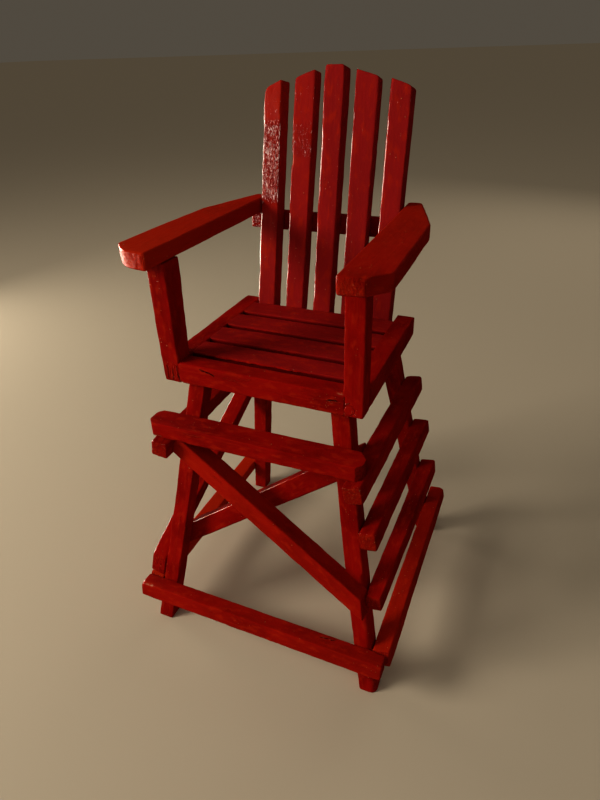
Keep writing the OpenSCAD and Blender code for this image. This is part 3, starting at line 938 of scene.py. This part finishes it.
def paint_bead(name, seed, start, stop, radius, wander):
    """A thick thread of paint along a line, in metres, that wanders to one side and swells and thins."""
    start, stop, wander = Vector(start), Vector(stop), Vector(wander)
    count = round((stop - start).length / BEAD_STEP)
    points, faces = [], []
    for i in range(count + 1):
        share = i / count
        drift = abs(noise.noise(Vector((share * WANDERS, seed, 0.0)))) * WANDER
        middle = start.lerp(stop, share) + wander * drift
        width = radius * (MEAN_WIDTH + SWELL * noise.noise(Vector((share * SWELLS, seed, 5.0))))
        width = max(width * min(1.0, TAPER * share, TAPER - TAPER * share), radius * LEAST_WIDTH)
        for k in range(BEAD_SIDES):
            angle = 2 * math.pi * k / BEAD_SIDES
            points.append(middle + width * Vector((0.0, math.cos(angle), math.sin(angle))))
    for i in range(count):
        for k in range(BEAD_SIDES):
            a, b = i * BEAD_SIDES + k, i * BEAD_SIDES + (k + 1) % BEAD_SIDES
            faces.append((a, b, b + BEAD_SIDES, a + BEAD_SIDES))
    faces += [tuple(reversed(range(BEAD_SIDES))), tuple(range(count * BEAD_SIDES, (count + 1) * BEAD_SIDES))]
    bead = new_object(name, points, faces)
    store_grain(bead.data, points)
    bead.data.materials.append(enamel)
    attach(bead, "root")


# Paint has run along the front arrises of the seat boards, most of all in the slot behind the apron:
# from and to where along the board, and the radius in millimetres
BEADS = [(0.05, 0.8, 0.6), (0.35, 0.62, 0.3), (0.1, 0.45, 0.3)]
for number, (first, last, radius) in enumerate(BEADS):
    low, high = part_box("seat_board_%d" % (number + 1))
    width = high[0] - low[0]
    y, z = low[1] - 0.1 * MM, high[2] - 0.75 * MM
    start, stop = (low[0] + first * width, y, z), (low[0] + last * width, y, z)
    paint_bead("paint_bead_%d" % (number + 1), number + 3.5, start, stop, radius * MM, (0.0, -1.1 * MM, 0.1 * MM))

# ---------- Stage ----------

FLOOR = 40.0  # Half the floor's side, in metres
FLOOR_COLOUR = (0.56, 0.51, 0.43, 1.0)
ROOM_COLOUR, ROOM_STRENGTH = (1.0, 0.86, 0.67, 1.0), 0.09
WARM = (1.0, 0.87, 0.68)
CENTRE = (0.0, 0.0, 0.2)

floor_paint = Tree("pale_floor")
for key, value in (("Base Color", FLOOR_COLOUR), ("Roughness", 0.9), ("Specular IOR Level", 0.0)):
    floor_paint.shader.inputs[key].default_value = value
corners = [(-FLOOR, -FLOOR, 0), (FLOOR, -FLOOR, 0), (FLOOR, FLOOR, 0), (-FLOOR, FLOOR, 0)]
floor = new_object("floor", corners, [(0, 1, 2, 3)])
floor.data.materials.append(floor_paint.material)
floor.visible_glossy = False

# Name, place, target, size, power and colour of each lamp, in metres and watts, and what it has no part in
LAMPS = [
    ("key", (-1.05, -0.80, 0.80), CENTRE, (0.5, 0.5), 13.8, WARM, "visible_glossy"),
    ("left", (-0.95, 0.15, 0.20), CENTRE, (0.30, 0.45), 2.0, WARM, None),
    ("fill", (0.9, -1.1, 0.8), CENTRE, (0.8, 0.8), 0.9, WARM, "visible_glossy"),
    ("back", (0.3, 1.3, 0.8), CENTRE, (0.8, 0.8), 1.8, WARM, "visible_glossy"),
    ("glint", (-0.57, -0.22, 0.40), (-0.045, 0.06, 0.33), (0.07, 0.10), 0.25, (0.94, 0.9, 1.0), "visible_diffuse"),
    ("edges", (-0.95, 0.05, 0.26), CENTRE, (0.75, 0.45), 30.0, (1.0, 0.84, 0.68), "visible_diffuse"),
]
for name, place, target, size, power, colour, left_out in LAMPS:
    light = bpy.data.lights.new(name, "AREA")
    light.shape = "RECTANGLE"
    light.size, light.size_y = size
    light.energy = power
    light.color = colour
    lamp = bpy.data.objects.new(name, light)
    lamp.location = place
    lamp.rotation_euler = (Vector(target) - Vector(place)).to_track_quat("-Z", "Y").to_euler()
    lamp.visible_camera = False
    if left_out:
        setattr(lamp, left_out, False)
    bpy.context.scene.collection.objects.link(lamp)

sun = bpy.data.lights.new("sky", "SUN")
sun.energy, sun.angle, sun.color = 0.25, math.radians(30), WARM
sky = bpy.data.objects.new("sky", sun)
sky.rotation_euler = (math.radians(30), math.radians(-12), 0.0)
sky.visible_glossy = False
bpy.context.scene.collection.objects.link(sky)

world = bpy.data.worlds.new("studio")
world.use_nodes = True
world.node_tree.nodes["Background"].inputs["Color"].default_value = ROOM_COLOUR
world.node_tree.nodes["Background"].inputs["Strength"].default_value = ROOM_STRENGTH
world.cycles_visibility.glossy = False
bpy.context.scene.world = world
bpy.context.scene.view_settings.view_transform = "Standard"
bpy.context.scene.view_settings.look = "Medium High Contrast"

# ---------- Camera ----------

AZIMUTH, PITCH, ROLL = (math.radians(a) for a in (24.3, 31.8, -2.1))
PLACE = (0.1484, -0.3292, 0.3994)  # In metres
FOCAL = 571.6 / 800  # Share of the long side of the image
SENSOR = 36.0
camera_data = bpy.data.cameras.new("camera")
camera_data.sensor_width = SENSOR
camera_data.lens = SENSOR * FOCAL
camera_data.clip_start = 0.01
camera = bpy.data.objects.new("camera", camera_data)
ahead = Vector((-math.sin(AZIMUTH) * math.cos(PITCH), math.cos(AZIMUTH) * math.cos(PITCH), -math.sin(PITCH)))
level = Vector((math.cos(AZIMUTH), math.sin(AZIMUTH), 0.0))
above = level.cross(ahead)
right = level * math.cos(ROLL) + above * math.sin(ROLL)
over = above * math.cos(ROLL) - level * math.sin(ROLL)
camera.matrix_world = Matrix.Translation(PLACE) @ Matrix((right, over, -ahead)).transposed().to_4x4()
bpy.context.scene.collection.objects.link(camera)
bpy.context.scene.camera = camera
